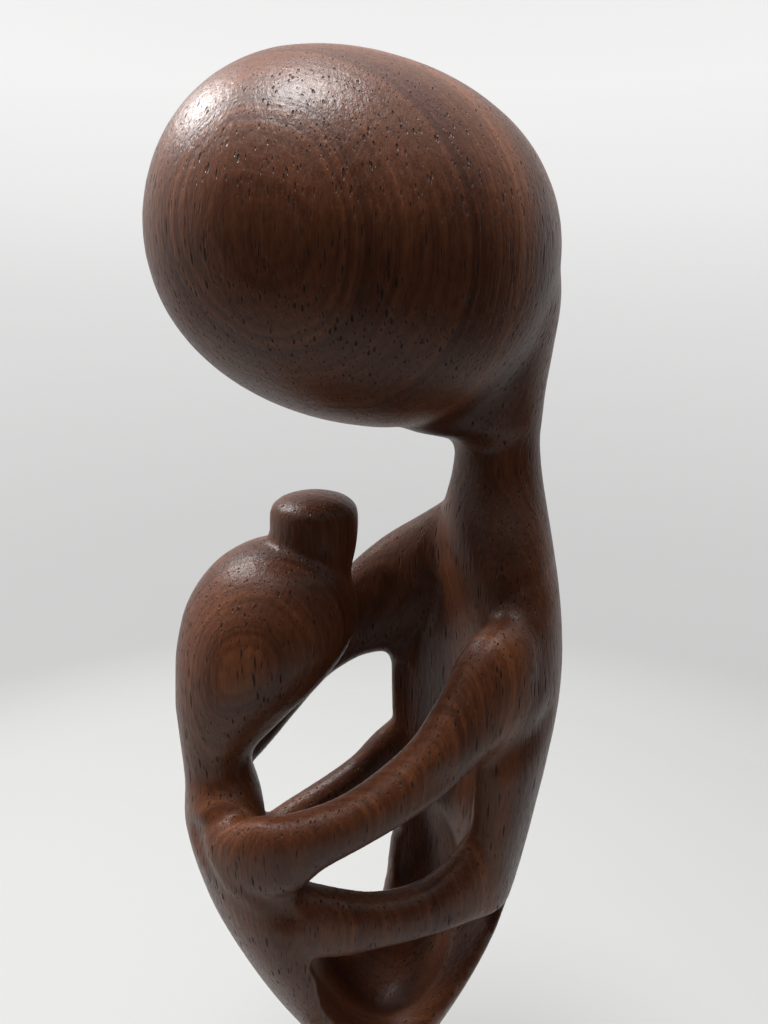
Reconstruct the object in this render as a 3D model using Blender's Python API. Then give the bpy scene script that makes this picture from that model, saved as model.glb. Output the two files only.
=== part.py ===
"""Mother and child sculpture, carved from one block of wood that also holds its low round base.

Metres, +Z up. The origin is the middle of the base's underside. The mother stands at +X and bows her head
over the child at -X. The side at -Y is the one that the near arm and hand lie on.

The figure is a free form. Its sizes are given in millimetres, with heights measured from the top of the base.
"""

import math

import bmesh
import bpy
import numpy as np
from mathutils import Matrix, Vector

# The base, in metres.
BASE_THICKNESS = 0.015
BASE_LENGTH = 0.084
BASE_WIDTH = 0.070
BASE_EDGE_ROUNDING = 0.005
BASE_EDGE_STEPS = 8
# How far the base is carried on below its underside before it is cut flat.
BASE_SPARE = 0.004

# Fineness of the carved surface: size of the grid in metres, points round a section, sections per stretch.
VOXEL = 0.001
SIDES = 48
STEPS = 6
TRIANGLES = 9600
ROUNDING_PASSES = 9
CREASE_PASSES = 3
SMOOTHING = 0.5

WOOD_COLOUR = (0.085, 0.04, 0.025, 1.0)
WOOD_ROUGHNESS = 0.38

# All the sizes of the figure from here on are in millimetres.
# The mother's head is an egg with its axis in the plane y = 0. Stations of the other forms follow.
MOTHER_HEAD = dict(
    centre=(-2.0, 248.0),
    half_length=40.6,
    half_width=34.2,
    half_depth=31.5,
    tilt_deg=15.9,
    fullness=(0.034, 0.12),
)

# Torso stations: height, back x, rim x, rim y, front x, lip, wall. The front is hollow where it lies behind the
# rim.
MOTHER_TORSO = [
    (254, 34.6, 8.0, 18.0, 0.0, 0.0, 0.0),
    (246, 39.2, 11.0, 24.0, 0.0, 0.0, 0.0),
    (238, 40.2, 14.0, 24.5, 0.0, 0.0, 0.0),
    (228, 40.0, 20.0, 18.0, 2.0, 0.0, 0.0),
    (219, 39.2, 25.0, 13.5, 4.0, 0.0, 0.0),
    (212, 39.0, 27.3, 11.2, 7.0, 0.0, 0.0),
    (208.5, 39.0, 28.6, 9.6, 19.4, 0.0, 0.0),
    (202, 39.7, 29.0, 10.0, 20.2, 0.0, 0.0),
    (196, 40.4, 29.2, 12.4, 19.2, 0.0, 0.0),
    (189, 41.3, 28.6, 16.2, 18.2, 0.0, 0.0),
    (180, 42.6, 26.8, 20.4, 18.8, 0.5, 1.0),
    (170, 43.6, 23.5, 24.8, 20.6, 3.0, 4.5),
    (160, 44.4, 21.0, 27.0, 22.0, 6.0, 6.0),
    (148, 43.8, 20.5, 27.3, 22.0, 7.4, 6.5),
    (134, 40.8, 20.5, 27.0, 21.5, 7.4, 6.5),
    (120, 37.9, 19.5, 26.0, 20.5, 6.8, 6.5),
    (105, 34.5, 18.0, 24.5, 19.0, 6.2, 6.0),
    (90, 30.4, 14.0, 22.5, 17.0, 4.0, 6.0),
    (76, 25.8, 8.0, 19.5, 8.0, 2.0, 6.0),
    (64, 20.9, 3.0, 16.0, -8.0, 0.0, 4.0),
    (53, 14.2, 0.0, 12.8, -11.0, 0.0, 0.0),
]
# Lower block stations: x, y, height, half width along X, half width along Y.
BLOCK = [
    (0.0, 0, 108, 30.5, 24.0),
    (0.0, 0, 104, 30.5, 23.8),
    (0.0, 0, 92, 29.5, 22.5),
    (0.3, 0, 84, 27.3, 21.5),
    (0.3, 0, 72, 22.2, 18.5),
    (0.3, 0, 60, 16.8, 15.0),
    (0.3, 0, 48, 12.8, 12.0),
    (0.0, 0, 37, 10.6, 10.2),
    (0.0, 0, 27, 10.0, 9.5),
    (0.0, 0, 17, 11.5, 10.8),
    (0.0, 0, 9, 16.0, 14.5),
    (0.0, 0, 3, 24.0, 20.5),
    (0.0, 0, -3, 34.0, 27.0),
]
CHILD_TORSO = [
    (139, -41.8, -34.0, 8.5, -27.5, 0.0, 0.0),
    (133, -42.6, -33.5, 14.0, -26.0, 0.0, 0.0),
    (126, -43.0, -28.0, 19.5, -25.5, 0.0, 2.0),
    (116, -41.1, -23.0, 22.4, -25.0, 0.0, 4.0),
    (106, -38.2, -20.5, 23.5, -23.0, 0.0, 5.0),
    (95, -33.6, -18.5, 23.0, -20.0, 0.0, 5.0),
    (84, -28.6, -15.0, 21.0, -13.0, 0.0, 5.0),
    (72, -22.6, -8.0, 18.0, -4.0, 0.0, 4.0),
    (60, -15.8, -6.0, 14.2, 2.0, 0.0, 0.0),
]
CHILD_HEAD = [
    (-19.4, 0, 189.6, 3.0, 3.0),
    (-19.4, 0, 188.8, 7.0, 7.2),
    (-19.6, 0, 185.6, 12.8, 12.4),
    (-20.6, 0, 181.2, 16.0, 15.2),
    (-21.5, 0, 176.0, 18.2, 17.2),
    (-22.6, 0, 170.5, 18.8, 17.8),
    (-24.4, 0, 165.0, 18.0, 17.0),
    (-27.2, 0, 159.0, 15.6, 15.0),
    (-29.6, 0, 155.0, 13.4, 13.2),
    (-32.1, 0, 150.0, 10.7, 11.0),
    (-34.5, 0, 145.0, 8.2, 9.0),
    (-35.2, 0, 139.0, 7.3, 8.0),
    (-34.8, 0, 132.0, 7.9, 9.0),
]
# Limb stations: x, y, height, half height, half depth, measured square to the limb's line.
NEAR_ARM = [
    (36.0, -7.0, 162.0, 8.0, 4.6),
    (30.2, -15.4, 163.2, 10.4, 6.2),
    (23.0, -21.0, 161.4, 13.6, 6.8),
    (15.0, -23.8, 154.8, 10.0, 6.0),
    (6.5, -25.2, 147.4, 7.2, 5.4),
    (-3.0, -25.2, 141.2, 6.0, 5.0),
    (-12.0, -24.4, 136.3, 5.8, 4.6),
    (-20.0, -22.6, 132.6, 6.8, 4.4),
    (-26.5, -20.0, 129.0, 9.0, 4.2),
    (-33.4, -14.6, 126.6, 8.0, 4.0),
    (-38.0, -7.6, 126.4, 6.0, 3.4),
    (-39.4, 1.0, 127.0, 4.0, 3.0),
]
FAR_ARM = [
    (28.0, 5.0, 188.5, 8.0, 6.0),
    (22.0, 12.0, 180.5, 9.2, 6.0),
    (15.5, 18.5, 171.6, 11.2, 6.0),
    (8.0, 22.6, 162.2, 12.0, 5.6),
    (0.0, 24.0, 157.0, 9.0, 5.4),
    (-9.0, 23.2, 151.0, 7.5, 5.2),
    (-18.0, 20.5, 143.5, 7.5, 5.2),
    (-27.0, 15.5, 137.0, 7.2, 5.2),
    (-35.0, 8.0, 134.5, 6.2, 5.0),
]
NEAR_CHILD_ARM = [
    (21.5, -19.8, 113.6, 12.0, 4.4),
    (14.5, -21.6, 111.2, 8.8, 4.5),
    (6.0, -22.4, 109.2, 6.6, 4.4),
    (-5.0, -22.4, 109.0, 6.4, 4.4),
    (-15.0, -21.2, 110.0, 8.0, 4.6),
    (-25.0, -18.0, 112.0, 9.0, 4.6),
]
FAR_CHILD_ARM = [
    (20.0, 20.2, 121.0, 13.2, 4.5),
    (13.5, 21.8, 118.4, 9.6, 4.5),
    (6.0, 22.8, 113.6, 7.2, 4.4),
    (-5.0, 22.6, 108.5, 6.2, 4.4),
    (-15.0, 21.2, 104.5, 6.4, 4.6),
    (-24.0, 18.0, 101.0, 7.0, 5.0),
]
BUN = [
    (-13.6, 0, 176.0, 4.0, 4.0),
    (-13.2, 0, 180.0, 8.0, 8.0),
    (-12.7, 0, 184.0, 8.6, 8.6),
    (-12.2, 0, 189.0, 9.1, 9.0),
    (-12.0, 0, 194.0, 9.2, 9.1),
    (-12.0, 0, 196.4, 8.8, 8.7),
    (-12.0, 0, 198.2, 6.6, 6.5),
    (-12.0, 0, 199.2, 3.0, 3.0),
    (-12.0, 0, 199.4, 0.8, 0.8),
]
# The valley under the near hand, cut as a round groove: points of its line on the surface, and the level way
# out of the surface there.
HAND_VALLEY = [
    (-42.6, -6.0, 130.5, -0.97, -0.25),
    (-41.4, -11.0, 126.0, -0.90, -0.42),
    (-38.0, -16.8, 121.8, -0.75, -0.66),
    (-33.0, -20.8, 118.8, -0.48, -0.88),
    (-27.5, -22.9, 116.2, -0.25, -0.97),
    (-22.5, -23.6, 114.6, -0.1, -1.0),
]
VALLEY_RADIUS = 4.5
VALLEY_DEPTH = 2.0
# Hollow between the figures, cut after the forms are joined.
HOLLOW = [
    (-3.0, 0, 126, 18.5, 16.5),
    (-1.0, 0, 112, 21.0, 17.5),
    (0.6, 0, 98, 21.6, 17.4),
    (1.2, 0, 88, 19.6, 16.6),
    (1.8, 0, 78, 16.0, 14.0),
    (2.2, 0, 69, 11.0, 10.4),
    (2.4, 0, 63.5, 5.5, 5.5),
    (2.4, 0, 61.5, 1.0, 1.0),
]
HOLLOW_SQUARENESS = 2.5
# Fillings of the corners where limbs meet the torso: middle and half sizes along X, Y and height.
CORNERS = [
    (18.0, 21.0, 152.0, 7.0, 4.6, 8.0),
]
# The windows in the two side walls, as points (x, height) round each one. Their tops lie inside the arms.
NEAR_LOWER_WINDOW = [
    (-16.8, 102.5), (-18.2, 96.0), (-17.9, 91.0), (-17.0, 86.5), (-15.3, 82.0), (-12.6, 77.0), (-8.5, 71.5),
    (-3.5, 67.5), (1.5, 66.0), (5.5, 67.0), (9.0, 69.8), (12.5, 74.0), (16.0, 79.5), (20.0, 86.5),
    (23.0, 94.0), (24.0, 102.5),
]
FAR_LOWER_WINDOW = [
    (-16.0, 102.5), (-17.0, 95.0), (-16.5, 88.0), (-14.5, 81.5), (-10.5, 75.0), (-5.0, 70.5), (-1.0, 69.5),
    (3.0, 70.8), (6.5, 74.5), (8.9, 79.5), (10.4, 86.0), (11.1, 94.0), (11.2, 102.5),
]
NEAR_MIDDLE_WINDOW = [
    (-17.0, 128.0), (-18.0, 122.5), (-17.0, 118.5), (-13.0, 115.6), (-6.0, 114.0), (0.6, 113.6), (6.0, 114.0),
    (10.0, 115.6), (13.4, 119.0), (15.0, 123.5), (15.8, 130.0), (16.4, 140.0), (16.0, 148.0), (8.0, 146.0),
    (0.0, 141.0), (-10.0, 135.0),
]
FAR_MIDDLE_WINDOW = [
    (-14.0, 141.0), (-18.0, 132.0), (-21.0, 122.0), (-23.0, 112.0), (-20.0, 107.5), (-14.0, 111.5),
    (-5.0, 117.0), (3.5, 121.5), (8.6, 125.5), (10.9, 132.0), (11.2, 142.0), (11.0, 152.0), (4.0, 155.0),
    (-6.0, 151.0),
]
# The side walls lie within these distances from the middle plane.
WALL_INSIDE = 7.0
WALL_OUTSIDE = 60.0
# How far the torso's far inner edge comes before the near one, halved, where the lip has its full size.
TORSO_SKEW = 2.5
FULL_LIP = 5.0
# Least distance between the outer and the inner edge of the rim, so that they stay two edges.
THINNEST_WALL = 0.05
# How square the sections of the limbs are: 2 is an oval.
LIMB_SQUARENESS = 2.4


def clear_scene():
    for obj in list(bpy.data.objects):
        bpy.data.objects.remove(obj)


def figure_point(x, y, z):
    """A point in metres from sizes in millimetres, its height measured from the top of the base."""
    return Vector((x, y, z)) / 1000 + Vector((0, 0, BASE_THICKNESS))


def curve_point(a, b, c, d, t):
    """The point at share t of the smooth curve (Catmull-Rom) from b to c, with a before them and d after."""
    return 0.5 * (2 * b + (c - a) * t + (2 * a - 5 * b + 4 * c - d) * t**2 + (3 * b - a - 3 * c + d) * t**3)


def smooth_rows(rows):
    """Rows read from a smooth curve through the given rows."""
    rows = np.array(rows, float)
    padded = np.vstack([2 * rows[0] - rows[1], rows, 2 * rows[-1] - rows[-2]])
    out = []
    for i in range(1, len(padded) - 2):
        for t in np.arange(STEPS) / STEPS:
            out.append(curve_point(*padded[i - 1 : i + 3], t))
    out.append(rows[-1])
    return out


def smooth_outline(points):
    """A closed smooth curve through the points, which lie in a plane."""
    points = np.array(points, float)
    count = len(points)
    out = []
    for i in range(count):
        near_points = [points[(i + step) % count] for step in (-1, 0, 1, 2)]
        for t in np.arange(STEPS) / STEPS:
            out.append(curve_point(*near_points, t))
    return out


def skin(mesh, rings):
    """Closes a row of rings of points into one tube with flat ends, in the bmesh."""
    loops = [[mesh.verts.new(point) for point in ring] for ring in rings]
    for low, high in zip(loops, loops[1:]):
        for i in range(len(low)):
            j = (i + 1) % len(low)
            mesh.faces.new((low[i], low[j], high[j], high[i]))
    mesh.faces.new(list(reversed(loops[0])))
    mesh.faces.new(loops[-1])


def upright_form(mesh, stations, squareness=2.0):
    """A form with level oval sections."""
    rings = []
    for x, y, z, half_x, half_y in smooth_rows(stations):
        ring = []
        for i in range(SIDES):
            turn = 2 * math.pi * i / SIDES
            side_x = half_x * rounded(math.cos(turn), squareness)
            side_y = half_y * rounded(math.sin(turn), squareness)
            ring.append(figure_point(x + side_x, y + side_y, z))
        rings.append(ring)
    skin(mesh, rings)


def torso(mesh, stations):
    """A form with level crescent sections: a half oval behind the rim, and a rounded or hollow front."""
    half = SIDES // 2
    rings = []
    for z, back, rim_x, rim_y, front, lip, wall in smooth_rows(stations):
        ring = []
        for i in range(half + 1):
            turn = math.pi * (i / half - 0.5)
            ring.append(figure_point(rim_x + (back - rim_x) * math.cos(turn), rim_y * math.sin(turn), z))
        inner_x = rim_x - lip
        inner_y = rim_y - max(wall, THINNEST_WALL)
        for i in range(half + 1):
            turn = math.pi * (0.5 - i / half)
            x = inner_x + (front - inner_x) * math.cos(turn)
            x -= TORSO_SKEW * math.sin(turn) * min(1.0, max(0.0, lip) / FULL_LIP)
            ring.append(figure_point(x, inner_y * math.sin(turn), z))
        rings.append(ring)
    skin(mesh, rings)


def rounded(value, squareness):
    """A cosine or sine changed so that the oval it draws is nearer to a square."""
    return math.copysign(abs(value) ** (2 / squareness), value)


def bent_form(mesh, stations, squareness=2.0):
    """A form with oval sections square to its line."""
    smooth = smooth_rows(stations)
    rows = [Vector(r[:3]) for r in smooth]
    rings = []
    for k, centre in enumerate(rows):
        half_height, half_depth = smooth[k][3:]
        along = (rows[min(k + 1, len(rows) - 1)] - rows[max(k - 1, 0)]).normalized()
        up = Vector((0, 0, 1))
        height = (up - up.dot(along) * along).normalized()
        depth = along.cross(height)
        ring = []
        for i in range(SIDES):
            turn = 2 * math.pi * i / SIDES
            up_by = half_height * rounded(math.cos(turn), squareness)
            out_by = half_depth * rounded(math.sin(turn), squareness)
            ring.append(figure_point(*(centre + height * up_by + depth * out_by)))
        rings.append(ring)
    skin(mesh, rings)


def egg(mesh, centre, half_length, half_width, half_depth, tilt_deg, fullness):
    """An egg whose long axis lies in the plane y = 0, with fuller ends than an ellipsoid has."""
    ball = bmesh.ops.create_uvsphere(mesh, u_segments=SIDES, v_segments=SIDES, radius=1.0)
    turn = Matrix.Rotation(math.radians(tilt_deg), 3, "Y")
    upright = Matrix.Rotation(math.radians(90), 3, "Y")
    for vert in ball["verts"]:
        unit = upright @ vert.co
        full = 1 + fullness[0] * unit.x + fullness[1] * unit.x**2
        local = turn @ Vector((unit.x * half_length, unit.y * half_depth * full, unit.z * half_width * full))
        vert.co = figure_point(centre[0] + local.x, local.y, centre[1] + local.z)


def filled_corner(mesh, x, y, z, half_x, half_y, half_z):
    ball = bmesh.ops.create_uvsphere(mesh, u_segments=SIDES, v_segments=SIDES, radius=1.0)
    for vert in ball["verts"]:
        vert.co = figure_point(x + half_x * vert.co.x, y + half_y * vert.co.y, z + half_z * vert.co.z)


def window_block(mesh, outline, side):
    """A cutter through one side wall: side is -1 for the near one and 1 for the far one."""
    rings = []
    for y in sorted((side * WALL_INSIDE, side * WALL_OUTSIDE), reverse=True):
        rings.append([figure_point(x, y, z) for x, z in outline])
    skin(mesh, rings)


def base_block(mesh):
    """The base, set a little deeper than its underside, which is cut flat at the end."""
    profile = [(-BASE_SPARE, 0.0)]
    for i in range(BASE_EDGE_STEPS + 1):
        turn = math.pi / 2 * i / BASE_EDGE_STEPS
        profile.append(
            (
                BASE_THICKNESS - BASE_EDGE_ROUNDING * (1 - math.sin(turn)),
                BASE_EDGE_ROUNDING * (1 - math.cos(turn)),
            )
        )
    rings = []
    for z, inset in profile:
        ring = []
        for i in range(2 * SIDES):
            turn = math.pi * i / SIDES
            ring.append(
                Vector(
                    ((BASE_LENGTH / 2 - inset) * math.cos(turn), (BASE_WIDTH / 2 - inset) * math.sin(turn), z)
                )
            )
        rings.append(ring)
    skin(mesh, rings)


def add_object(name, mesh):
    data = bpy.data.meshes.new(name)
    bmesh.ops.recalc_face_normals(mesh, faces=mesh.faces)
    mesh.to_mesh(data)
    mesh.free()
    obj = bpy.data.objects.new(name, data)
    bpy.context.scene.collection.objects.link(obj)
    return obj


def helper(name, mesh):
    obj = add_object(name, mesh)
    obj.hide_render = True
    obj.display_type = "WIRE"
    return obj


def ground_block(mesh):
    """A block whose top is the level of the underside, wider than the base and deeper than all below it."""
    bmesh.ops.create_cube(mesh, size=1.0)
    middle = Vector((0, 0, -BASE_SPARE))
    for vert in mesh.verts:
        x, y, z = vert.co
        vert.co = middle + Vector((x * 2 * BASE_LENGTH, y * 2 * BASE_WIDTH, z * 2 * BASE_SPARE))


def wood():
    material = bpy.data.materials.new("carved_wood")
    material.use_nodes = True
    shader = material.node_tree.nodes["Principled BSDF"]
    shader.inputs["Base Color"].default_value = WOOD_COLOUR
    shader.inputs["Roughness"].default_value = WOOD_ROUGHNESS
    shader.inputs["Metallic"].default_value = 0.0
    return material


def add_remesh(obj, name):
    modifier = obj.modifiers.new(name, "REMESH")
    modifier.mode = "VOXEL"
    modifier.voxel_size = VOXEL
    modifier.use_smooth_shade = True


def add_boolean(obj, name, operation, other):
    modifier = obj.modifiers.new(name, "BOOLEAN")
    modifier.operation = operation
    modifier.object = other
    modifier.solver = "EXACT"


def add_smooth(obj, name, times):
    modifier = obj.modifiers.new(name, "SMOOTH")
    modifier.factor = SMOOTHING
    modifier.iterations = times


def add_decimate(obj, name, triangles):
    """Thins the surface as it is so far to about this many triangles."""
    surface = obj.evaluated_get(bpy.context.evaluated_depsgraph_get()).data
    surface.calc_loop_triangles()
    modifier = obj.modifiers.new(name, "DECIMATE")
    modifier.ratio = min(1.0, triangles / len(surface.loop_triangles))


def valley_line():
    """Stations of the valley's cutter, which lies outside the surface by all but the valley's depth."""
    away = VALLEY_RADIUS - VALLEY_DEPTH
    rows = []
    for x, y, z, out_x, out_y in HAND_VALLEY:
        rows.append((x + out_x * away, y + out_y * away, z, VALLEY_RADIUS, VALLEY_RADIUS))
    return rows


def main():
    clear_scene()
    mesh = bmesh.new()
    egg(mesh, **MOTHER_HEAD)
    torso(mesh, MOTHER_TORSO)
    torso(mesh, CHILD_TORSO)
    upright_form(mesh, BLOCK)
    upright_form(mesh, CHILD_HEAD)
    base_block(mesh)
    figure = add_object("mother_and_child", mesh)
    figure.data.materials.append(wood())

    hollow = bmesh.new()
    upright_form(hollow, HOLLOW, HOLLOW_SQUARENESS)
    windows = bmesh.new()
    for outline, side in (
        (smooth_outline(NEAR_MIDDLE_WINDOW), -1),
        (smooth_outline(FAR_MIDDLE_WINDOW), 1),
        (smooth_outline(NEAR_LOWER_WINDOW), -1),
        (smooth_outline(FAR_LOWER_WINDOW), 1),
    ):
        window_block(windows, outline, side)
    limbs = bmesh.new()
    for stations in (NEAR_ARM, FAR_ARM, NEAR_CHILD_ARM, FAR_CHILD_ARM):
        bent_form(limbs, stations, LIMB_SQUARENESS)
    for corner in CORNERS:
        filled_corner(limbs, *corner)
    valley = bmesh.new()
    bent_form(valley, valley_line())
    bun = bmesh.new()
    upright_form(bun, BUN)
    ground = bmesh.new()
    ground_block(ground)

    add_remesh(figure, "Fuse")
    add_boolean(figure, "Hollow", "DIFFERENCE", helper("hollow_cutter", hollow))
    add_boolean(figure, "Windows", "DIFFERENCE", helper("window_cutter", windows))
    add_remesh(figure, "Clean cuts")
    arms = helper("arms_form", limbs)
    add_remesh(arms, "Fuse arms")
    add_boolean(figure, "Arms", "UNION", arms)
    add_boolean(figure, "Valley", "DIFFERENCE", helper("valley_cutter", valley))
    add_remesh(figure, "Even")
    add_smooth(figure, "Round edges", ROUNDING_PASSES)
    add_boolean(figure, "Bun", "UNION", helper("bun_form", bun))
    add_remesh(figure, "Fuse bun")
    add_smooth(figure, "Soften", CREASE_PASSES)
    add_decimate(figure, "Thin out", TRIANGLES)
    add_boolean(figure, "Flat underside", "DIFFERENCE", helper("ground_cutter", ground))


main()
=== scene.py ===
"""Looks of the mother and child sculpture: the carved block of dark brown wood on a pale floor.

The carving is built from the same forms as the solid, on a fine grid, and gets the finer relief of the hand
carving. The wood's rings, fibres and pores run through the whole block, with the fibres upright.
"""

import math

import bmesh
import bpy
import numpy as np
from mathutils import Matrix, Vector


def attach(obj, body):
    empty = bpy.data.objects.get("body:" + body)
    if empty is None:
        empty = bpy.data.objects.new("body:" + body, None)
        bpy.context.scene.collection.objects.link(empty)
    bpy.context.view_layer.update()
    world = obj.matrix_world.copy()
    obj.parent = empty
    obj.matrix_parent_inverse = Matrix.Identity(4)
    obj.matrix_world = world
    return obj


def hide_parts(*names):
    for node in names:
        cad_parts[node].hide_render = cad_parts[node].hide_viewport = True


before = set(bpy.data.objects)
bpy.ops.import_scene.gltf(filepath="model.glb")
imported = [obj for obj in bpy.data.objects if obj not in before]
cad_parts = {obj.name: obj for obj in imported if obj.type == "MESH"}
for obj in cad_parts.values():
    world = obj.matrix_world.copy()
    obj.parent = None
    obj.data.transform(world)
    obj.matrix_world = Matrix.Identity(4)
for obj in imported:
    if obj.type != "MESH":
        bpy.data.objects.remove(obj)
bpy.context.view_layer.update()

MM_PER_METRE = 1000

# The base, in metres.
BASE_THICKNESS = 0.015
BASE_LENGTH = 0.084
BASE_WIDTH = 0.070
BASE_EDGE_ROUNDING = 0.005
BASE_EDGE_STEPS = 8
# How far the base is carried on below its underside before it is cut flat.
BASE_SPARE = 0.004

# Fineness of the carved surface: size of the grid in metres, points round a section, sections per stretch.
VOXEL = 0.001
SIDES = 64
STEPS = 8
# Smoothing: passes that round the carved edges, passes over the joint of the bun, and how far each pass goes.
ROUNDING_PASSES = 9
CREASE_PASSES = 3
SMOOTHING = 0.5

# All the sizes of the figure from here on are in millimetres.
# The mother's head is an egg with its axis in the plane y = 0. Its centre is given as x and height. Stations
# of the other forms follow.
MOTHER_HEAD = dict(
    centre=(-2.0, 248.0),
    half_length=40.6,
    half_width=34.2,
    half_depth=31.5,
    tilt_deg=15.9,
    fullness=(0.034, 0.12),
)

# Torso stations: height, back x, rim x, rim y, front x, lip, wall. The front is hollow where it lies behind
# the rim.
MOTHER_TORSO = [
    (254, 34.6, 8.0, 18.0, 0.0, 0.0, 0.0),
    (246, 39.2, 11.0, 24.0, 0.0, 0.0, 0.0),
    (238, 40.2, 14.0, 24.5, 0.0, 0.0, 0.0),
    (228, 40.0, 20.0, 18.0, 2.0, 0.0, 0.0),
    (219, 39.2, 25.0, 13.5, 4.0, 0.0, 0.0),
    (212, 39.0, 27.3, 11.2, 7.0, 0.0, 0.0),
    (208.5, 39.0, 28.6, 9.6, 19.4, 0.0, 0.0),
    (202, 39.7, 29.0, 10.0, 20.2, 0.0, 0.0),
    (196, 40.4, 29.2, 12.4, 19.2, 0.0, 0.0),
    (189, 41.3, 28.6, 16.2, 18.2, 0.0, 0.0),
    (180, 42.6, 26.8, 20.4, 18.8, 0.5, 1.0),
    (170, 43.6, 23.5, 24.8, 20.6, 3.0, 4.5),
    (160, 44.4, 21.0, 27.0, 22.0, 6.0, 6.0),
    (148, 43.8, 20.5, 27.3, 22.0, 7.4, 6.5),
    (134, 40.8, 20.5, 27.0, 21.5, 7.4, 6.5),
    (120, 37.9, 19.5, 26.0, 20.5, 6.8, 6.5),
    (105, 34.5, 18.0, 24.5, 19.0, 6.2, 6.0),
    (90, 30.4, 14.0, 22.5, 17.0, 4.0, 6.0),
    (76, 25.8, 8.0, 19.5, 8.0, 2.0, 6.0),
    (64, 20.9, 3.0, 16.0, -8.0, 0.0, 4.0),
    (53, 14.2, 0.0, 12.8, -11.0, 0.0, 0.0),
]
# Stations of the lower block and of the other upright forms: x, y, height, half width along X, half width
# along Y.
BLOCK = [
    (0.0, 0, 108, 30.5, 24.0),
    (0.0, 0, 104, 30.5, 23.8),
    (0.0, 0, 92, 29.5, 22.5),
    (0.3, 0, 84, 27.3, 21.5),
    (0.3, 0, 72, 22.2, 18.5),
    (0.3, 0, 60, 16.8, 15.0),
    (0.3, 0, 48, 12.8, 12.0),
    (0.0, 0, 37, 10.6, 10.2),
    (0.0, 0, 27, 10.0, 9.5),
    (0.0, 0, 17, 11.5, 10.8),
    (0.0, 0, 9, 16.0, 14.5),
    (0.0, 0, 3, 24.0, 20.5),
    (0.0, 0, -3, 34.0, 27.0),
]
CHILD_TORSO = [
    (139, -41.8, -34.0, 8.5, -27.5, 0.0, 0.0),
    (133, -42.6, -33.5, 14.0, -26.0, 0.0, 0.0),
    (126, -43.0, -28.0, 19.5, -25.5, 0.0, 2.0),
    (116, -41.1, -23.0, 22.4, -25.0, 0.0, 4.0),
    (106, -38.2, -20.5, 23.5, -23.0, 0.0, 5.0),
    (95, -33.6, -18.5, 23.0, -20.0, 0.0, 5.0),
    (84, -28.6, -15.0, 21.0, -13.0, 0.0, 5.0),
    (72, -22.6, -8.0, 18.0, -4.0, 0.0, 4.0),
    (60, -15.8, -6.0, 14.2, 2.0, 0.0, 0.0),
]
CHILD_HEAD = [
    (-19.4, 0, 189.6, 3.0, 3.0),
    (-19.4, 0, 188.8, 7.0, 7.2),
    (-19.6, 0, 185.6, 12.8, 12.4),
    (-20.6, 0, 181.2, 16.0, 15.2),
    (-21.5, 0, 176.0, 18.2, 17.2),
    (-22.6, 0, 170.5, 18.8, 17.8),
    (-24.4, 0, 165.0, 18.0, 17.0),
    (-27.2, 0, 159.0, 15.6, 15.0),
    (-29.6, 0, 155.0, 13.4, 13.2),
    (-32.1, 0, 150.0, 10.7, 11.0),
    (-34.5, 0, 145.0, 8.2, 9.0),
    (-35.2, 0, 139.0, 7.3, 8.0),
    (-34.8, 0, 132.0, 7.9, 9.0),
]
# Limb stations: x, y, height, half height, half depth, measured square to the limb's line.
NEAR_ARM = [
    (36.0, -7.0, 162.0, 8.0, 4.6),
    (30.2, -15.4, 163.2, 10.4, 6.2),
    (23.0, -21.0, 161.4, 13.6, 6.8),
    (15.0, -23.8, 154.8, 10.0, 6.0),
    (6.5, -25.2, 147.4, 7.2, 5.4),
    (-3.0, -25.2, 141.2, 6.0, 5.0),
    (-12.0, -24.4, 136.3, 5.8, 4.6),
    (-20.0, -22.6, 132.6, 6.8, 4.4),
    (-26.5, -20.0, 129.0, 9.0, 4.2),
    (-33.4, -14.6, 126.6, 8.0, 4.0),
    (-38.0, -7.6, 126.4, 6.0, 3.4),
    (-39.4, 1.0, 127.0, 4.0, 3.0),
]
FAR_ARM = [
    (28.0, 5.0, 188.5, 8.0, 6.0),
    (22.0, 12.0, 180.5, 9.2, 6.0),
    (15.5, 18.5, 171.6, 11.2, 6.0),
    (8.0, 22.6, 162.2, 12.0, 5.6),
    (0.0, 24.0, 157.0, 9.0, 5.4),
    (-9.0, 23.2, 151.0, 7.5, 5.2),
    (-18.0, 20.5, 143.5, 7.5, 5.2),
    (-27.0, 15.5, 137.0, 7.2, 5.2),
    (-35.0, 8.0, 134.5, 6.2, 5.0),
]
NEAR_CHILD_ARM = [
    (21.5, -19.8, 113.6, 12.0, 4.4),
    (14.5, -21.6, 111.2, 8.8, 4.5),
    (6.0, -22.4, 109.2, 6.6, 4.4),
    (-5.0, -22.4, 109.0, 6.4, 4.4),
    (-15.0, -21.2, 110.0, 8.0, 4.6),
    (-25.0, -18.0, 112.0, 9.0, 4.6),
]
FAR_CHILD_ARM = [
    (20.0, 20.2, 121.0, 13.2, 4.5),
    (13.5, 21.8, 118.4, 9.6, 4.5),
    (6.0, 22.8, 113.6, 7.2, 4.4),
    (-5.0, 22.6, 108.5, 6.2, 4.4),
    (-15.0, 21.2, 104.5, 6.4, 4.6),
    (-24.0, 18.0, 101.0, 7.0, 5.0),
]
BUN = [
    (-13.6, 0, 176.0, 4.0, 4.0),
    (-13.2, 0, 180.0, 8.0, 8.0),
    (-12.7, 0, 184.0, 8.6, 8.6),
    (-12.2, 0, 189.0, 9.1, 9.0),
    (-12.0, 0, 194.0, 9.2, 9.1),
    (-12.0, 0, 196.4, 8.8, 8.7),
    (-12.0, 0, 198.2, 6.6, 6.5),
    (-12.0, 0, 199.2, 3.0, 3.0),
    (-12.0, 0, 199.4, 0.8, 0.8),
]
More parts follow.
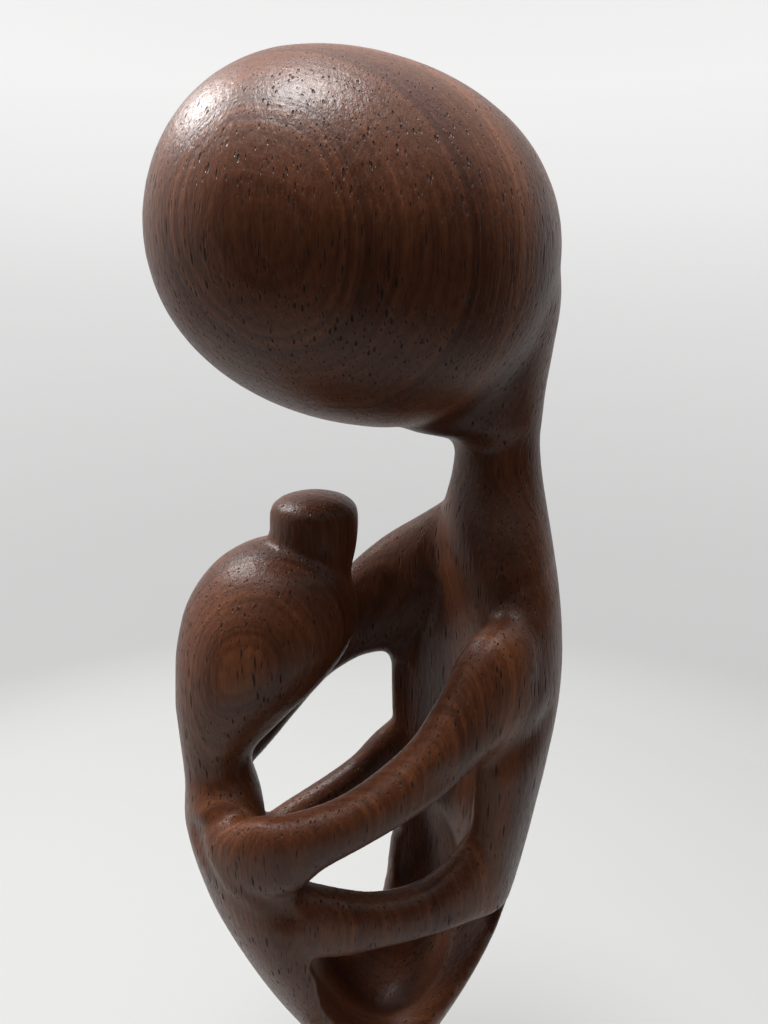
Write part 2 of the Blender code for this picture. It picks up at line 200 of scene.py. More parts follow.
# The valley under the near hand, cut as a round groove: points of its line on the surface, and the level way
# out of the surface there.
HAND_VALLEY = [
    (-42.6, -6.0, 130.5, -0.97, -0.25),
    (-41.4, -11.0, 126.0, -0.90, -0.42),
    (-38.0, -16.8, 121.8, -0.75, -0.66),
    (-33.0, -20.8, 118.8, -0.48, -0.88),
    (-27.5, -22.9, 116.2, -0.25, -0.97),
    (-22.5, -23.6, 114.6, -0.1, -1.0),
]
VALLEY_RADIUS = 4.5
VALLEY_DEPTH = 2.0
# Hollow between the figures, cut after the forms are joined.
HOLLOW = [
    (-3.0, 0, 126, 18.5, 16.5),
    (-1.0, 0, 112, 21.0, 17.5),
    (0.6, 0, 98, 21.6, 17.4),
    (1.2, 0, 88, 19.6, 16.6),
    (1.8, 0, 78, 16.0, 14.0),
    (2.2, 0, 69, 11.0, 10.4),
    (2.4, 0, 63.5, 5.5, 5.5),
    (2.4, 0, 61.5, 1.0, 1.0),
]
HOLLOW_SQUARENESS = 2.5
# Fillings of the corners where limbs meet the torso: middle and half sizes along X, Y and height.
CORNERS = [
    (18.0, 21.0, 152.0, 7.0, 4.6, 8.0),
]
# The windows in the two side walls, as points (x, height) round each one. Their tops lie inside the arms.
NEAR_LOWER_WINDOW = [
    (-16.8, 102.5), (-18.2, 96.0), (-17.9, 91.0), (-17.0, 86.5), (-15.3, 82.0), (-12.6, 77.0), (-8.5, 71.5),
    (-3.5, 67.5), (1.5, 66.0), (5.5, 67.0), (9.0, 69.8), (12.5, 74.0), (16.0, 79.5), (20.0, 86.5),
    (23.0, 94.0), (24.0, 102.5),
]
FAR_LOWER_WINDOW = [
    (-16.0, 102.5), (-17.0, 95.0), (-16.5, 88.0), (-14.5, 81.5), (-10.5, 75.0), (-5.0, 70.5), (-1.0, 69.5),
    (3.0, 70.8), (6.5, 74.5), (8.9, 79.5), (10.4, 86.0), (11.1, 94.0), (11.2, 102.5),
]
NEAR_MIDDLE_WINDOW = [
    (-17.0, 128.0), (-18.0, 122.5), (-17.0, 118.5), (-13.0, 115.6), (-6.0, 114.0), (0.6, 113.6), (6.0, 114.0),
    (10.0, 115.6), (13.4, 119.0), (15.0, 123.5), (15.8, 130.0), (16.4, 140.0), (16.0, 148.0), (8.0, 146.0),
    (0.0, 141.0), (-10.0, 135.0),
]
FAR_MIDDLE_WINDOW = [
    (-14.0, 141.0), (-18.0, 132.0), (-21.0, 122.0), (-23.0, 112.0), (-20.0, 107.5), (-14.0, 111.5),
    (-5.0, 117.0), (3.5, 121.5), (8.6, 125.5), (10.9, 132.0), (11.2, 142.0), (11.0, 152.0), (4.0, 155.0),
    (-6.0, 151.0),
]
# The side walls lie within these distances from the middle plane.
WALL_INSIDE = 7.0
WALL_OUTSIDE = 60.0
# How far the torso's far inner edge comes before the near one, halved, where the lip has its full size.
TORSO_SKEW = 2.5
FULL_LIP = 5.0
# Least distance between the outer and the inner edge of the rim, so that they stay two edges.
THINNEST_WALL = 0.05
# How square the sections are: of most forms, which are ovals, and of the limbs.
OVAL = 2.0
LIMB_SQUARENESS = 2.4


def figure_point(x, y, z):
    """A point in metres from sizes in millimetres, its height measured from the top of the base."""
    return Vector((x, y, z)) / MM_PER_METRE + Vector((0, 0, BASE_THICKNESS))


def curve_point(a, b, c, d, t):
    """The point at share t of the smooth curve (Catmull-Rom) from b to c, with a before them and d after."""
    return 0.5 * (2 * b + (c - a) * t + (2 * a - 5 * b + 4 * c - d) * t**2 + (3 * b - a - 3 * c + d) * t**3)


def smooth_rows(rows):
    """Rows read from a smooth curve through the given rows."""
    rows = np.array(rows, float)
    padded = np.vstack([2 * rows[0] - rows[1], rows, 2 * rows[-1] - rows[-2]])
    out = []
    for i in range(1, len(padded) - 2):
        for t in np.arange(STEPS) / STEPS:
            out.append(curve_point(*padded[i - 1 : i + 3], t))
    out.append(rows[-1])
    return out


def smooth_outline(points):
    """A closed smooth curve through the points, which lie in a plane."""
    points = np.array(points, float)
    count = len(points)
    out = []
    for i in range(count):
        near_points = [points[(i + step) % count] for step in (-1, 0, 1, 2)]
        for t in np.arange(STEPS) / STEPS:
            out.append(curve_point(*near_points, t))
    return out


def skin(mesh, rings):
    """Closes a row of rings of points into one tube with flat ends, in the bmesh."""
    loops = [[mesh.verts.new(point) for point in ring] for ring in rings]
    for low, high in zip(loops, loops[1:]):
        for i in range(len(low)):
            j = (i + 1) % len(low)
            mesh.faces.new((low[i], low[j], high[j], high[i]))
    mesh.faces.new(list(reversed(loops[0])))
    mesh.faces.new(loops[-1])


def rounded(value, squareness):
    """A cosine or sine changed so that the oval it draws is nearer to a square."""
    return math.copysign(abs(value) ** (2 / squareness), value)


def upright_form(mesh, stations, squareness=OVAL):
    """A form with level oval sections."""
    rings = []
    for x, y, z, half_x, half_y in smooth_rows(stations):
        ring = []
        for i in range(SIDES):
            turn = 2 * math.pi * i / SIDES
            side_x = half_x * rounded(math.cos(turn), squareness)
            side_y = half_y * rounded(math.sin(turn), squareness)
            ring.append(figure_point(x + side_x, y + side_y, z))
        rings.append(ring)
    skin(mesh, rings)


def torso(mesh, stations):
    """A form with level crescent sections: a half oval behind the rim, and a rounded or hollow front."""
    half = SIDES // 2
    rings = []
    for z, back, rim_x, rim_y, front, lip, wall in smooth_rows(stations):
        ring = []
        for i in range(half + 1):
            turn = math.pi * (i / half - 0.5)
            ring.append(figure_point(rim_x + (back - rim_x) * math.cos(turn), rim_y * math.sin(turn), z))
        inner_x = rim_x - lip
        inner_y = rim_y - max(wall, THINNEST_WALL)
        for i in range(half + 1):
            turn = math.pi * (0.5 - i / half)
            x = inner_x + (front - inner_x) * math.cos(turn)
            x -= TORSO_SKEW * math.sin(turn) * min(1.0, max(0.0, lip) / FULL_LIP)
            ring.append(figure_point(x, inner_y * math.sin(turn), z))
        rings.append(ring)
    skin(mesh, rings)


def bent_form(mesh, stations, squareness=OVAL):
    """A form with oval sections square to its line."""
    rows = smooth_rows(stations)
    centres = [Vector(row[:3]) for row in rows]
    rings = []
    for k, centre in enumerate(centres):
        half_height, half_depth = rows[k][3:]
        along = (centres[min(k + 1, len(centres) - 1)] - centres[max(k - 1, 0)]).normalized()
        up = Vector((0, 0, 1))
        height = (up - up.dot(along) * along).normalized()
        depth = along.cross(height)
        ring = []
        for i in range(SIDES):
            turn = 2 * math.pi * i / SIDES
            up_by = half_height * rounded(math.cos(turn), squareness)
            out_by = half_depth * rounded(math.sin(turn), squareness)
            ring.append(figure_point(*(centre + height * up_by + depth * out_by)))
        rings.append(ring)
    skin(mesh, rings)


def egg(mesh, centre, half_length, half_width, half_depth, tilt_deg, fullness):
    """An egg whose long axis lies in the plane y = 0, with fuller ends than an ellipsoid has."""
    ball = bmesh.ops.create_uvsphere(mesh, u_segments=SIDES, v_segments=SIDES, radius=1.0)
    turn = Matrix.Rotation(math.radians(tilt_deg), 3, "Y")
    upright = Matrix.Rotation(math.radians(90), 3, "Y")
    for vert in ball["verts"]:
        unit = upright @ vert.co
        full = 1 + fullness[0] * unit.x + fullness[1] * unit.x**2
        local = turn @ Vector((unit.x * half_length, unit.y * half_depth * full, unit.z * half_width * full))
        vert.co = figure_point(centre[0] + local.x, local.y, centre[1] + local.z)


def filled_corner(mesh, x, y, z, half_x, half_y, half_z):
    """An ellipsoid that fills a corner between two forms."""
    ball = bmesh.ops.create_uvsphere(mesh, u_segments=SIDES, v_segments=SIDES, radius=1.0)
    for vert in ball["verts"]:
        vert.co = figure_point(x + half_x * vert.co.x, y + half_y * vert.co.y, z + half_z * vert.co.z)


def window_block(mesh, outline, side):
    """A cutter through one side wall: side is -1 for the near one and 1 for the far one."""
    rings = []
    for y in sorted((side * WALL_INSIDE, side * WALL_OUTSIDE), reverse=True):
        rings.append([figure_point(x, y, z) for x, z in outline])
    skin(mesh, rings)


def base_block(mesh):
    """The base, set a little deeper than its underside, which is cut flat at the end."""
    profile = [(-BASE_SPARE, 0.0)]
    for i in range(BASE_EDGE_STEPS + 1):
        turn = math.pi / 2 * i / BASE_EDGE_STEPS
        height = BASE_THICKNESS - BASE_EDGE_ROUNDING * (1 - math.sin(turn))
        profile.append((height, BASE_EDGE_ROUNDING * (1 - math.cos(turn))))
    rings = []
    for height, inset in profile:
        ring = []
        half_length = BASE_LENGTH / 2 - inset
        half_width = BASE_WIDTH / 2 - inset
        for i in range(2 * SIDES):
            turn = math.pi * i / SIDES
            ring.append(Vector((half_length * math.cos(turn), half_width * math.sin(turn), height)))
        rings.append(ring)
    skin(mesh, rings)


def linked_object(name, data):
    obj = bpy.data.objects.new(name, data)
    bpy.context.scene.collection.objects.link(obj)
    return obj


def add_object(name, mesh):
    """An object of the form in the bmesh, with its faces turned outwards."""
    data = bpy.data.meshes.new(name)
    bmesh.ops.recalc_face_normals(mesh, faces=mesh.faces)
    mesh.to_mesh(data)
    mesh.free()
    return linked_object(name, data)


def helper(name, mesh):
    """A form that only cuts or joins, and isn't rendered."""
    obj = add_object(name, mesh)
    obj.hide_render = True
    obj.display_type = "WIRE"
    return obj


def ground_block(mesh):
    """A block whose top is the level of the underside, wider than the base and deeper than all below it."""
    bmesh.ops.create_cube(mesh, size=1.0)
    middle = Vector((0, 0, -BASE_SPARE))
    for vert in mesh.verts:
        x, y, z = vert.co
        vert.co = middle + Vector((x * 2 * BASE_LENGTH, y * 2 * BASE_WIDTH, z * 2 * BASE_SPARE))


def add_remesh(obj, name):
    modifier = obj.modifiers.new(name, "REMESH")
    modifier.mode = "VOXEL"
    modifier.voxel_size = VOXEL
    modifier.use_smooth_shade = True


def add_boolean(obj, name, operation, other):
    modifier = obj.modifiers.new(name, "BOOLEAN")
    modifier.operation = operation
    modifier.object = other
    modifier.solver = "EXACT"


def add_smooth(obj, name, times):
    modifier = obj.modifiers.new(name, "SMOOTH")
    modifier.factor = SMOOTHING
    modifier.iterations = times


def shade_smooth(obj):
    for polygon in obj.data.polygons:
        polygon.use_smooth = True


def valley_line():
    """Stations of the valley's cutter, which lies outside the surface by all but the valley's depth."""
    away = VALLEY_RADIUS - VALLEY_DEPTH
    rows = []
    for x, y, z, out_x, out_y in HAND_VALLEY:
        rows.append((x + out_x * away, y + out_y * away, z, VALLEY_RADIUS, VALLEY_RADIUS))
    return rows


# Relief that the tools left. Waves: wavelength and height in millimetres, and the seed of each.
WAVES = [(22.0, 0.16, 11), (9.0, 0.07, 12), (4.5, 0.03, 13)]
# Side of the block of random values that the waves are read from, and where in it the figure starts.
LATTICE_SIDE = 32
LATTICE_START = 7.0
# Creases and ridges: how far in they go (or out, below zero) and how wide they are, in millimetres, and
# points along each.
CREASES = [
    (0.35, 1.6, [(38.0, -12.0, 182.0), (33.0, -17.5, 181.0), (27.0, -19.5, 181.0), (24.0, -18.5, 178.5)]),
    (0.5, 3.2, [(29.5, -20.5, 177.5), (26.0, -21.5, 177.0)]),
    (0.9, 4.0, [(5.0, -30.0, 145.0), (12.0, -29.0, 145.5), (21.5, -27.0, 147.0), (32.5, -23.5, 151.0)]),
    (-0.6, 2.0, [(-38.5, -13.0, 126.0), (-35.5, -16.5, 121.5), (-32.5, -19.0, 119.5), (-29.5, -20.5, 117.0)]),
    (0.6, 1.5, [(-40.0, -9.5, 130.5), (-37.5, -12.0, 134.0), (-32.0, -12.5, 135.0)]),
]


def noise_at(points, wavelength, seed):
    """Smooth seeded noise from -1 to 1 at the points, in three dimensions."""
    rng = np.random.default_rng(seed)
    lattice = rng.uniform(-1, 1, (LATTICE_SIDE, LATTICE_SIDE, LATTICE_SIDE))
    grid = points / wavelength + LATTICE_START
    low = np.floor(grid).astype(int)
    part = grid - low
    part = part * part * (3 - 2 * part)
    total = np.zeros(len(points))
    for corner in range(8):
        offset = np.array([corner & 1, corner >> 1 & 1, corner >> 2 & 1])
        weight = np.prod(np.where(offset, part, 1 - part), axis=1)
        index = (low + offset) % LATTICE_SIDE
        total += weight * lattice[index[:, 0], index[:, 1], index[:, 2]]
    return total


def distance_to_line(points, line):
    """Distance of each point from a line through the given points."""
    best = np.full(len(points), np.inf)
    for start, end in zip(line, line[1:]):
        along = end - start
        share = np.clip((points - start) @ along / (along @ along), 0, 1)
        gap = np.linalg.norm(points - start - share[:, None] * along, axis=1)
        best = np.minimum(best, gap)
    return best


def relief(points):
    """How far the carving stands out at each point. Points and heights are in the figure's millimetres."""
    height = np.zeros(len(points))
    for wavelength, wave_height, seed in WAVES:
        height += wave_height * noise_at(points, wavelength, seed)
    for depth, width, line in CREASES:
        gap = distance_to_line(points, np.array(smooth_rows(line)))
        height -= depth * np.exp(-((gap / width) ** 2))
    return height


def raise_relief(data):
    """Moves each point of the mesh out or in by its relief."""
    count = len(data.vertices)
    points = np.empty(count * 3)
    data.vertices.foreach_get("co", points)
    normals = np.empty(count * 3)
    data.vertex_normals.foreach_get("vector", normals)
    points = points.reshape(-1, 3)
    figure_points = (points - np.array([0, 0, BASE_THICKNESS])) * MM_PER_METRE
    points = points + normals.reshape(-1, 3) * relief(figure_points)[:, None] / MM_PER_METRE
    data.vertices.foreach_set("co", points.reshape(-1))
    data.update()


def finished_mesh(obj):
    """The mesh of the object with its modifiers applied."""
    graph = bpy.context.evaluated_depsgraph_get()
    return bpy.data.meshes.new_from_object(obj.evaluated_get(graph), depsgraph=graph)


def rough_block():
    """The forms that are fused first, before anything is cut out of them."""
    mesh = bmesh.new()
    egg(mesh, **MOTHER_HEAD)
    torso(mesh, MOTHER_TORSO)
    torso(mesh, CHILD_TORSO)
    upright_form(mesh, BLOCK)
    upright_form(mesh, CHILD_HEAD)
    base_block(mesh)
    return add_object("rough_block", mesh)


def helper_forms():
    """The forms that are cut out of the rough block or joined to it later, each under its name."""
    meshes = {name: bmesh.new() for name in ("hollow", "windows", "arms", "valley", "bun", "ground")}
    upright_form(meshes["hollow"], HOLLOW, HOLLOW_SQUARENESS)
    for outline, side in (
        (NEAR_MIDDLE_WINDOW, -1),
        (FAR_MIDDLE_WINDOW, 1),
        (NEAR_LOWER_WINDOW, -1),
        (FAR_LOWER_WINDOW, 1),
    ):
        window_block(meshes["windows"], smooth_outline(outline), side)
    for stations in (NEAR_ARM, FAR_ARM, NEAR_CHILD_ARM, FAR_CHILD_ARM):
        bent_form(meshes["arms"], stations, LIMB_SQUARENESS)
    for corner in CORNERS:
        filled_corner(meshes["arms"], *corner)
    bent_form(meshes["valley"], valley_line())
    upright_form(meshes["bun"], BUN)
    ground_block(meshes["ground"])
    return {name: helper(name + "_form", mesh) for name, mesh in meshes.items()}


def carving():
    """The whole carved block, with its relief."""
    rough = rough_block()
    forms = helper_forms()
    add_remesh(rough, "Fuse")
    add_boolean(rough, "Hollow", "DIFFERENCE", forms["hollow"])
    add_boolean(rough, "Windows", "DIFFERENCE", forms["windows"])
    add_remesh(rough, "Clean cuts")
    add_remesh(forms["arms"], "Fuse arms")
    add_boolean(rough, "Arms", "UNION", forms["arms"])
    add_boolean(rough, "Valley", "DIFFERENCE", forms["valley"])
    add_remesh(rough, "Even")
    add_smooth(rough, "Round edges", ROUNDING_PASSES)
    add_boolean(rough, "Bun", "UNION", forms["bun"])
    add_remesh(rough, "Fuse bun")
    add_smooth(rough, "Soften", CREASE_PASSES)
    data = finished_mesh(rough)
    raise_relief(data)

    carved = linked_object("carved_sculpture", data)
    add_boolean(carved, "Flat underside", "DIFFERENCE", forms["ground"])
    final = finished_mesh(carved)
    carved.modifiers.clear()
    carved.data = final
    for obj in (rough, *forms.values()):
        bpy.data.objects.remove(obj)
    shade_smooth(carved)
    return carved


# The mix node's sockets for colours, by their places, because its other sockets have the same names.
MIX_FACTOR = 0
MIX_FIRST = 6
MIX_SECOND = 7
MIX_RESULT = 2
# The roughness that a noise has when none is asked for.
PLAIN_ROUGHNESS = 0.5


class Nodes:
    """A short way to add and link the nodes of a material or of the world."""

    def __init__(self, tree):
        self.tree = tree

    def add(self, kind, inputs=None, **settings):
        node = self.tree.nodes.new(kind)
        for name, value in settings.items():
            setattr(node, name, value)
        for name, value in (inputs or {}).items():
            socket = node.inputs[name]
            if isinstance(value, bpy.types.NodeSocket):
                self.tree.links.new(value, socket)
            else:
                socket.default_value = value
        return node

    def math(self, operation, a, b):
        return self.add("ShaderNodeMath", {0: a, 1: b}, operation=operation).outputs[0]

    def vector_math(self, operation, a, b, output="Vector"):
        return self.add("ShaderNodeVectorMath", {0: a, 1: b}, operation=operation).outputs[output]

    def scaled(self, vector, factors):
        return self.vector_math("MULTIPLY", vector, factors)

    def noise(self, vector, scale, detail, roughness=PLAIN_ROUGHNESS):
        inputs = {"Vector": vector, "Scale": scale, "Detail": detail, "Roughness": roughness}
        return self.add("ShaderNodeTexNoise", inputs)

    def ring_noise(self, distance, scale, detail, roughness=PLAIN_ROUGHNESS):
        inputs = {"W": distance, "Scale": scale, "Detail": detail, "Roughness": roughness}
        return self.add("ShaderNodeTexNoise", inputs, noise_dimensions="1D").outputs["Fac"]

    def span(self, value, low, high, to_low, to_high):
        inputs = {"Value": value, "From Min": low, "From Max": high, "To Min": to_low, "To Max": to_high}
        return self.add("ShaderNodeMapRange", inputs).outputs["Result"]

    def total(self, parts):
        """The sum of the values, each times its own share."""
        result = None
        for value, share in parts:
            part = self.math("MULTIPLY", value, share)
            result = part if result is None else self.math("ADD", result, part)
        return result

    def mix(self, factor, a, b):
        inputs = {MIX_FACTOR: factor, MIX_FIRST: a, MIX_SECOND: b}
        return self.add("ShaderNodeMix", inputs, data_type="RGBA").outputs[MIX_RESULT]

    def ramp(self, value, stops):
        """A colour ramp: each stop is a place from 0 to 1 and the colour there."""
        node = self.add("ShaderNodeValToRGB", {"Fac": value})
        elements = node.color_ramp.elements
        while len(elements) < len(stops):
            elements.new(0.5)
        for element, (place, colour) in zip(elements, stops):
            element.position = place
            element.color = (*colour, 1.0)
        return node.outputs["Color"]


# The middle of the tree that the block came from, level with it, in millimetres.
TREE_MIDDLE = (-72.0, -108.0, 0.0)
# The waves that bend the rings, stretched along the fibres: waves to a millimetre, detail, and how far they
# bend, in millimetres.
BEND_STRETCH = (1.0, 1.0, 0.35)
BEND_FINENESS = 0.022
BEND_DETAIL = 2.0
BEND_REACH = (16.0, 16.0, 0.0)
# Added to a noise, it makes it swing round zero.
NOISE_SHIFT = (-0.5, -0.5, -0.5)
# Times a point, it leaves the level part.
LEVEL_PART = (1.0, 1.0, 0.0)
# Noises of the rings: waves to a millimetre, detail and roughness.
BROAD_RINGS = (0.11, 1.0)
FINE_RINGS = (0.80, 4.0, 0.7)
# Noises of the block, each stretched along the fibres: waves to a millimetre each way, then scale, detail and
# roughness.
PATCH_STRETCH = (1.0, 1.0, 0.45)
PATCHES = (0.045, 2.0)
FIBRE_STRETCH = (2.2, 2.2, 0.10)
FIBRES = (1.0, 3.0, 0.65)
GRAIN_STRETCH = (1.0, 1.0, 0.40)
GRAINS = (0.9, 3.0, 0.6)
# Shares of the broad rings, fine rings, patches, fibres and grains in the tone.
TONE_SHARES = (0.20, 0.30, 0.22, 0.12, 0.16)
# Tone and the wood's colour at that tone.
WOOD_STOPS = [
    (0.32, (0.030, 0.0088, 0.0040)),
    (0.46, (0.065, 0.0198, 0.0083)),
    (0.56, (0.110, 0.0350, 0.0142)),
    (0.70, (0.200, 0.0710, 0.0280)),
]
PORE_COLOUR = (0.006, 0.0025, 0.0018, 1.0)
PORE_STRENGTH = 0.85
# The pores: how many fit across a millimetre, the share of places that holds one, and how wide they are.
PORES = [(0.9, 0.50, 0.25), (1.9, 0.42, 0.28)]
# How many times longer than wide they are, and the part of their width that is fully dark.
PORE_LENGTH = 9
PORE_CORE = 0.5
# Between these two values of the fine rings, the share of places with a pore grows from few to many times it.
PORE_TONES = (0.38, 0.62)
FEW_PORES = 0.3
MANY_PORES = 1.7
# The bump: shares of the fibres, fine rings and grains in it, its strength, and its depth in metres.
BUMP_SHARES = (0.30, 0.25, 0.7)
BUMP_STRENGTH = 0.6
BUMP_DEPTH = 0.00035
# Between these two values of the fibres, the wood's roughness goes from the first to the second. Pores add
# to it.
FIBRE_TONES = (0.3, 0.7)
WOOD_ROUGHNESS = (0.30, 0.44)
PORE_ROUGHNESS = 0.3
WOOD_SPECULAR = 0.26


def new_material(name):
    """A material with its node helper and its shader."""
    material = bpy.data.materials.new(name)
    material.use_nodes = True
    return material, Nodes(material.node_tree), material.node_tree.nodes["Principled BSDF"]


def growth_rings(nodes, place):
    """Distance from the middle of the tree, bent by slow waves along the fibres."""
    bend = nodes.noise(nodes.scaled(place, BEND_STRETCH), BEND_FINENESS, BEND_DETAIL).outputs["Color"]
    bend = nodes.vector_math("ADD", bend, NOISE_SHIFT)
    bent = nodes.vector_math("ADD", place, nodes.scaled(bend, BEND_REACH))
    return nodes.vector_math("DISTANCE", nodes.scaled(bent, LEVEL_PART), TREE_MIDDLE, "Value")


def wood_pores(nodes, place, fine):
    """Upright vessels, more of them in some rings: 1 in a pore and 0 between them."""
    pore = 0.0
    for fineness, share, reach in PORES:
        stretch = (fineness, fineness, fineness / PORE_LENGTH)
        inputs = {"Vector": nodes.scaled(place, stretch), "Scale": 1.0}
        cells = nodes.add("ShaderNodeTexVoronoi", inputs)
        chosen = nodes.add("ShaderNodeSeparateColor", {"Color": cells.outputs["Color"]}).outputs["Red"]
        limit = nodes.span(fine, *PORE_TONES, 1.0 - share * FEW_PORES, 1.0 - share * MANY_PORES)
        chosen = nodes.math("GREATER_THAN", nodes.math("SUBTRACT", chosen, limit), 0.0)
        dark = nodes.span(cells.outputs["Distance"], reach * PORE_CORE, reach, 1.0, 0.0)
        pore = nodes.math("MAXIMUM", pore, nodes.math("MULTIPLY", dark, chosen))
    return pore


def wood_material():
    material, nodes, shader = new_material("carved_wood")
    place = nodes.add("ShaderNodeTexCoord").outputs["Object"]
    place = nodes.scaled(place, (MM_PER_METRE, MM_PER_METRE, MM_PER_METRE))
    apart = growth_rings(nodes, place)
    broad = nodes.ring_noise(apart, *BROAD_RINGS)
    fine = nodes.ring_noise(apart, *FINE_RINGS)
    patches = nodes.noise(nodes.scaled(place, PATCH_STRETCH), *PATCHES).outputs["Fac"]
    fibres = nodes.noise(nodes.scaled(place, FIBRE_STRETCH), *FIBRES).outputs["Fac"]
    grains = nodes.noise(nodes.scaled(place, GRAIN_STRETCH), *GRAINS).outputs["Fac"]
    pore = wood_pores(nodes, place, fine)

    tone = nodes.total(zip((broad, fine, patches, fibres, grains), TONE_SHARES))
    colour = nodes.ramp(tone, WOOD_STOPS)
    colour = nodes.mix(nodes.math("MULTIPLY", pore, PORE_STRENGTH), colour, PORE_COLOUR)
    relief_height = nodes.total(zip((fibres, fine, grains), BUMP_SHARES))
    relief_height = nodes.math("SUBTRACT", relief_height, pore)
    inputs = {"Height": relief_height, "Strength": BUMP_STRENGTH, "Distance": BUMP_DEPTH}
    bump = nodes.add("ShaderNodeBump", inputs)
    shine = nodes.span(fibres, *FIBRE_TONES, *WOOD_ROUGHNESS)
    shine = nodes.math("ADD", shine, nodes.math("MULTIPLY", pore, PORE_ROUGHNESS))
    links = material.node_tree.links
    links.new(colour, shader.inputs["Base Color"])
    links.new(shine, shader.inputs["Roughness"])
    links.new(bump.outputs["Normal"], shader.inputs["Normal"])
    shader.inputs["Specular IOR Level"].default_value = WOOD_SPECULAR
    return material


# The stage is a pale dish, as in a light tent: a flat floor that curves up into a wall, which glows more with
# its height up to 0.4 m. Its front, behind the camera, neither lights the object nor mirrors in it.
FLOOR_RADIUS = 0.31
WALL_RADIUS = 0.56
WALL_HEIGHT = 0.80
CURVE_STEPS = 12
STAGE_SIDES = 96
# The share of the ring that is the front.
FRONT_SHARE = 0.46
FLOOR_COLOUR = (0.345, 0.347, 0.340)
WALL_COLOUR = (0.130, 0.131, 0.129)
# Height in metres where the floor's colour has turned into the wall's.
WALL_COLOUR_HEIGHT = 0.0125
# Height in metres and glow there.
WALL_GLOW = [
    (0.0, 0.08),
    (0.0125, 0.37),
    (0.07, 0.41),
    (0.145, 0.48),
    (0.23, 0.565),
    (0.313, 0.655),
    (0.40, 0.71),
    (0.483, 0.67),
]
# The height in metres that is the end of the two ramps.
GLOW_TOP = 0.5
STAGE_ROUGHNESS = 0.9
STAGE_SPECULAR = 0.1


def stage_material():
    material, nodes, shader = new_material("stage_paint")
    place = nodes.add("ShaderNodeTexCoord").outputs["Object"]
    height = nodes.add("ShaderNodeSeparateXYZ", {"Vector": place}).outputs["Z"]
    share = nodes.math("DIVIDE", height, GLOW_TOP)
    paint = nodes.ramp(share, [(0.0, FLOOR_COLOUR), (WALL_COLOUR_HEIGHT / GLOW_TOP, WALL_COLOUR)])
    glow = nodes.ramp(share, [(z / GLOW_TOP, (value, value, value)) for z, value in WALL_GLOW])
    links = material.node_tree.links
    links.new(paint, shader.inputs["Base Color"])
    links.new(glow, shader.inputs["Emission Color"])
    shader.inputs["Emission Strength"].default_value = 1.0
    shader.inputs["Roughness"].default_value = STAGE_ROUGHNESS
    shader.inputs["Specular IOR Level"].default_value = STAGE_SPECULAR
    return material


def stage_object(name, mesh, material):
    data = bpy.data.meshes.new(name)
    mesh.to_mesh(data)
    mesh.free()
    data.materials.append(material)
    return linked_object(name, data)


def stage_profile():
    """Radius and height of the points of the wall, from the floor up."""
    profile = [(FLOOR_RADIUS, 0.0)]
    curve = WALL_RADIUS - FLOOR_RADIUS
    for i in range(1, CURVE_STEPS + 1):
        turn = math.pi / 2 * i / CURVE_STEPS
        profile.append((FLOOR_RADIUS + curve * math.sin(turn), curve * (1 - math.cos(turn))))
    profile.append((WALL_RADIUS, WALL_HEIGHT))
    return profile


def stage_wall(name, first, last, material):
    """A part of the wall, from one side of the ring to another. Side 0 lies at +X and they go round by +Y."""
    mesh = bmesh.new()
    rows = []
    for radius, height in stage_profile():
        row = []
        for i in range(first, last + 1):
            turn = 2 * math.pi * i / STAGE_SIDES
            row.append(mesh.verts.new((radius * math.cos(turn), radius * math.sin(turn), height)))
        rows.append(row)
    for low, high in zip(rows, rows[1:]):
        for i in range(len(low) - 1):
            mesh.faces.new((low[i], high[i], high[i + 1], low[i + 1]))
    obj = stage_object(name, mesh, material)
    shade_smooth(obj)
    return obj


def add_stage():
    material = stage_material()
    mesh = bmesh.new()
    bmesh.ops.create_circle(mesh, cap_ends=True, segments=STAGE_SIDES, radius=FLOOR_RADIUS)
    floor = stage_object("floor", mesh, material)
    front = round(STAGE_SIDES * FRONT_SHARE / 2)
    middle = STAGE_SIDES * 3 // 4
    front_wall = stage_wall("front_wall", middle - front, middle + front, material)
    back_wall = stage_wall("back_wall", middle + front, middle - front + STAGE_SIDES, material)
    front_wall.visible_diffuse = False
    front_wall.visible_glossy = False
    front_wall.visible_shadow = False


def add_lamp(name, place, target, width, power):
    """A round lamp that the camera doesn't see."""
    light = bpy.data.lights.new(name, "AREA")
    light.shape = "DISK"
    light.size = width
    light.energy = power
    lamp = linked_object(name, light)
    lamp.visible_camera = False
    lamp.location = place
    lamp.rotation_euler = (Vector(place) - Vector(target)).to_track_quat("Z", "Y").to_euler()


# Light of the surroundings: dim from the front and below, bright from overhead. It grows between two heights
# of the way that it comes from, and the far side counts as higher by this share.
DIM_LIGHT = 0.04
SKY_LIGHT = 1.25
SKY_HEIGHTS = (0.25, 0.80)
FAR_SIDE_SHARE = 0.3
SKY_COLOUR = (1.0, 1.0, 0.99, 1.0)
# Name, place, the point it shines at, its width in metres and its power in watts.
LAMPS = [
    ("overhead", (-0.08, -0.03, 0.85), (-0.01, -0.02, 0.25), 0.24, 6.2),
    ("left", (-0.33, 0.34, 0.70), (-0.03, 0.0, 0.25), 0.18, 4.0),
]


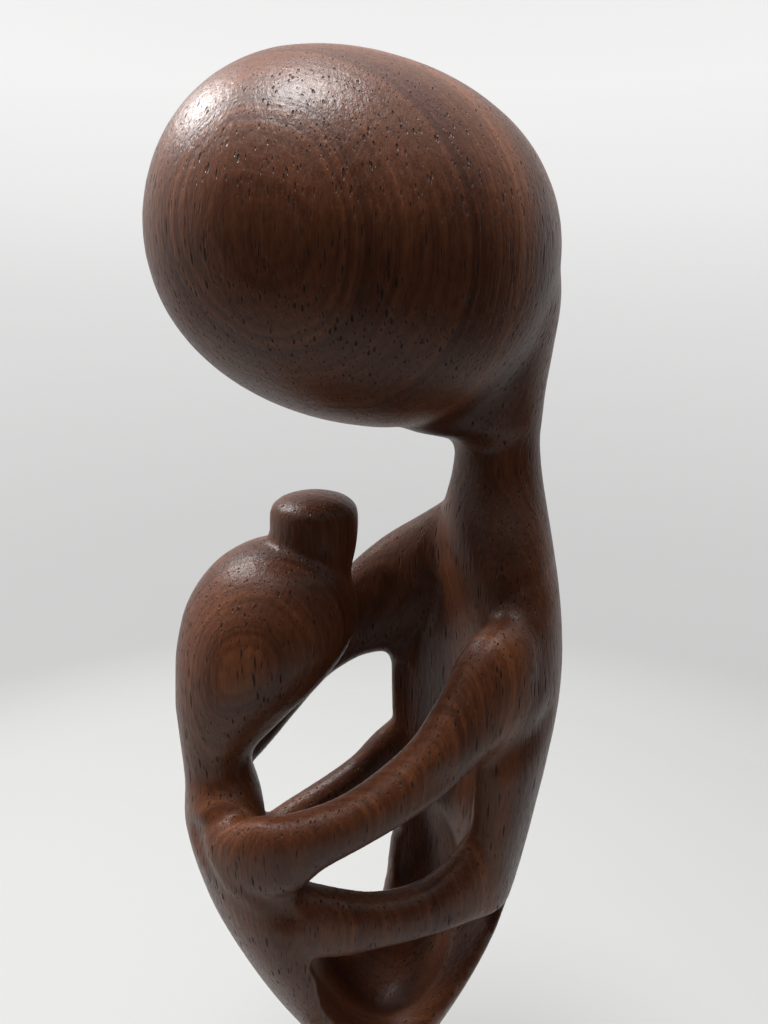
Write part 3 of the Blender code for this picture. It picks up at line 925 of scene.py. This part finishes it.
def light_scene():
    world = bpy.data.worlds.new("surroundings")
    world.use_nodes = True
    nodes = Nodes(world.node_tree)
    background = world.node_tree.nodes["Background"]
    way = nodes.add("ShaderNodeTexCoord").outputs["Generated"]
    parts = nodes.add("ShaderNodeSeparateXYZ", {"Vector": way}).outputs
    upward = nodes.math("ADD", parts["Z"], nodes.math("MULTIPLY", parts["Y"], FAR_SIDE_SHARE))
    strength = nodes.span(upward, *SKY_HEIGHTS, DIM_LIGHT, SKY_LIGHT)
    world.node_tree.links.new(strength, background.inputs["Strength"])
    background.inputs["Color"].default_value = SKY_COLOUR
    bpy.context.scene.world = world
    for lamp in LAMPS:
        add_lamp(*lamp)
    bpy.context.scene.view_settings.view_transform = "Standard"


# The photograph's camera, 17 cm from the mother's head: its place, its turn from +Y towards +X, and how far
# it looks down.
CAMERA_PLACE = (-0.0497, -0.1634, 0.258)
CAMERA_YAW_DEG = 18.0
CAMERA_PITCH_DEG = 16.0
# Its focal length and the photo's long side in pixels, and the long side of the sensor.
CAMERA_FOCAL_PX = 829
PHOTO_HEIGHT_PX = 1024
SENSOR_MM = 36.0
# Nearer than this, in metres, nothing is drawn.
NEAR_LIMIT = 0.005


def add_camera():
    yaw = math.radians(CAMERA_YAW_DEG)
    pitch = math.radians(CAMERA_PITCH_DEG)
    forward = Vector((math.sin(yaw) * math.cos(pitch), math.cos(yaw) * math.cos(pitch), -math.sin(pitch)))
    lens = bpy.data.cameras.new("camera")
    lens.sensor_width = SENSOR_MM
    lens.lens = SENSOR_MM * CAMERA_FOCAL_PX / PHOTO_HEIGHT_PX
    lens.clip_start = NEAR_LIMIT
    camera = linked_object("camera", lens)
    camera.location = CAMERA_PLACE
    camera.rotation_mode = "QUATERNION"
    camera.rotation_quaternion = (-forward).to_track_quat("Z", "Y")
    bpy.context.scene.camera = camera


sculpture = carving()
sculpture.data.materials.append(wood_material())
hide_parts("mother_and_child")
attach(sculpture, "root")
add_stage()
light_scene()
add_camera()

triangles = sum(len(polygon.vertices) - 2 for polygon in sculpture.data.polygons)
print("carved sculpture triangles:", triangles)
